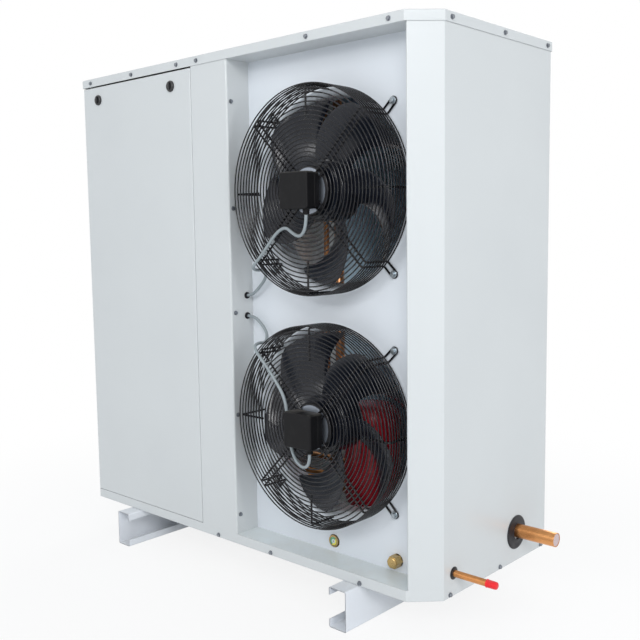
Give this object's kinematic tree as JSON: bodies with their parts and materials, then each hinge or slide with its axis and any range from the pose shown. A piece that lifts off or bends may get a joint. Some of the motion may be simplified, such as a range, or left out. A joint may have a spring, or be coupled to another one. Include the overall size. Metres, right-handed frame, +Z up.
{
  "type": "refrigeration condensing unit",
  "caption": "Outdoor refrigeration condensing unit: sheet cabinet on channel feet, stacked guarded axial fans in a recess, coil at the back, copper pipe stubs on one side.",
  "frame": {"origin": "middle of the four anchor holes, on the ground plane under the feet", "axes": "+Z up, the front with the fans faces -Y, the pipe stubs leave on +X"},
  "size_m": [1.401, 0.6301, 1.4],
  "materials": {
    "cabinet_paint": "light grey powder coat, semi-gloss",
    "tray_paint": "grey powder coat, semi-gloss",
    "galvanised": "galvanised sheet with soft spangle",
    "zinc_screw": "bright zinc",
    "lock_black": "black moulding",
    "foam": "charcoal acoustic foam",
    "guard_black": "gloss black coating",
    "motor_silver": "die-cast aluminium",
    "rotor_black": "black coating",
    "box_black": "black moulding, fine grain",
    "lead_grey": "light grey cable sheath",
    "rubber": "black rubber",
    "copper": "drawn copper tube, lightly oxidised",
    "plug_plate": "pale plug",
    "cap_red": "soft red plastic",
    "brass": "turned brass",
    "lens": "glass over a green ring",
    "drier_paint": "pale coating",
    "receiver_red": "red coating",
    "fin_blue": "blue hydrophilic fin stock"
  },
  "bodies": {
    "chassis": {"base_tray": "tray_paint", "cabinet_screws": "zinc_screw", "centre_post": "cabinet_paint", "coil_end_plates": "galvanised", "coil_fins": "fin_blue", "coil_guard": "guard_black", "coil_headers": "copper", "coil_tubes": "copper", "compressor_base_plate": "guard_black", "compressor_mount_bolts": "zinc_screw", "compressor_rubber_mounts": "rubber", "compressor_shell": "guard_black", "compressor_terminal_cover": "box_black", "condensate_pipe": "copper", "discharge_pipe": "copper", "electrical_box": "galvanised", "electrical_box_cover": "galvanised", "fan_plate": "cabinet_paint", "filter_drier": "drier_paint", "guard_screws": "zinc_screw", "lead_grommets": "rubber", "lead_ties": "lead_grey", "left_foot_channel": "galvanised", "left_side_panel": "cabinet_paint", "liquid_grommet": "rubber", "liquid_pipe": "copper", "liquid_receiver": "receiver_red", "lower_fan_lead": "lead_grey", "lower_guard_rings": "guard_black", "lower_guard_spokes": "guard_black", "lower_motor_stator": "motor_silver", "lower_terminal_box": "box_black", "partition_wall": "galvanised", "rear_panel": "cabinet_paint", "receiver_foot": "galvanised", "recess_ceiling": "cabinet_paint", "right_foot_channel": "galvanised", "right_side_panel": "cabinet_paint", "service_valve": "brass", "service_valve_cap": "brass", "sight_glass_body": "brass", "sight_glass_lens": "lens", "suction_end_plate": "plug_plate", "suction_grommet": "rubber", "suction_pipe": "copper", "top_cover": "cabinet_paint", "upper_fan_lead": "lead_grey", "upper_guard_rings": "guard_black", "upper_guard_spokes": "guard_black", "upper_motor_stator": "motor_silver", "upper_terminal_box": "box_black"},
    "upper_rotor": {"upper_motor_rotor": "rotor_black", "upper_fan_impeller": "rotor_black"},
    "lower_rotor": {"lower_motor_rotor": "rotor_black", "lower_fan_impeller": "rotor_black"},
    "door": {"access_panel": "cabinet_paint", "panel_foam": "foam"},
    "lock_left": {"panel_lock_left": "lock_black"},
    "lock_right": {"panel_lock_right": "lock_black"},
    "pipe_cap": {"liquid_pipe_cap": "cap_red"}
  },
  "joints": [
    {"name": "upper_fan_spin", "type": "hinge", "parent": "chassis", "child": "upper_rotor", "pos_m": [0.3115, 0, 1.032], "axis": [0, 1, 0], "continuous": true},
    {"name": "lower_fan_spin", "type": "hinge", "parent": "chassis", "child": "lower_rotor", "pos_m": [0.3115, 0, 0.462], "axis": [0, 1, 0], "continuous": true},
    {"name": "access_panel_tilt", "type": "hinge", "parent": "chassis", "child": "door", "pos_m": [0, -0.264, 0.127], "axis": [1, 0, 0], "range_deg": [0, 25]},
    {"name": "left_lock_turn", "type": "hinge", "parent": "door", "child": "lock_left", "pos_m": [-0.5455, -0.264, 1.334], "axis": [0, 1, 0], "range_deg": [0, 90]},
    {"name": "right_lock_turn", "type": "hinge", "parent": "door", "child": "lock_right", "pos_m": [-0.1985, -0.264, 1.334], "axis": [0, 1, 0], "range_deg": [0, 90]},
    {"name": "pipe_cap_pull", "type": "slide", "parent": "chassis", "child": "pipe_cap", "axis": [1, 0, 0], "range_m": [0, 0.03]}
  ]
}
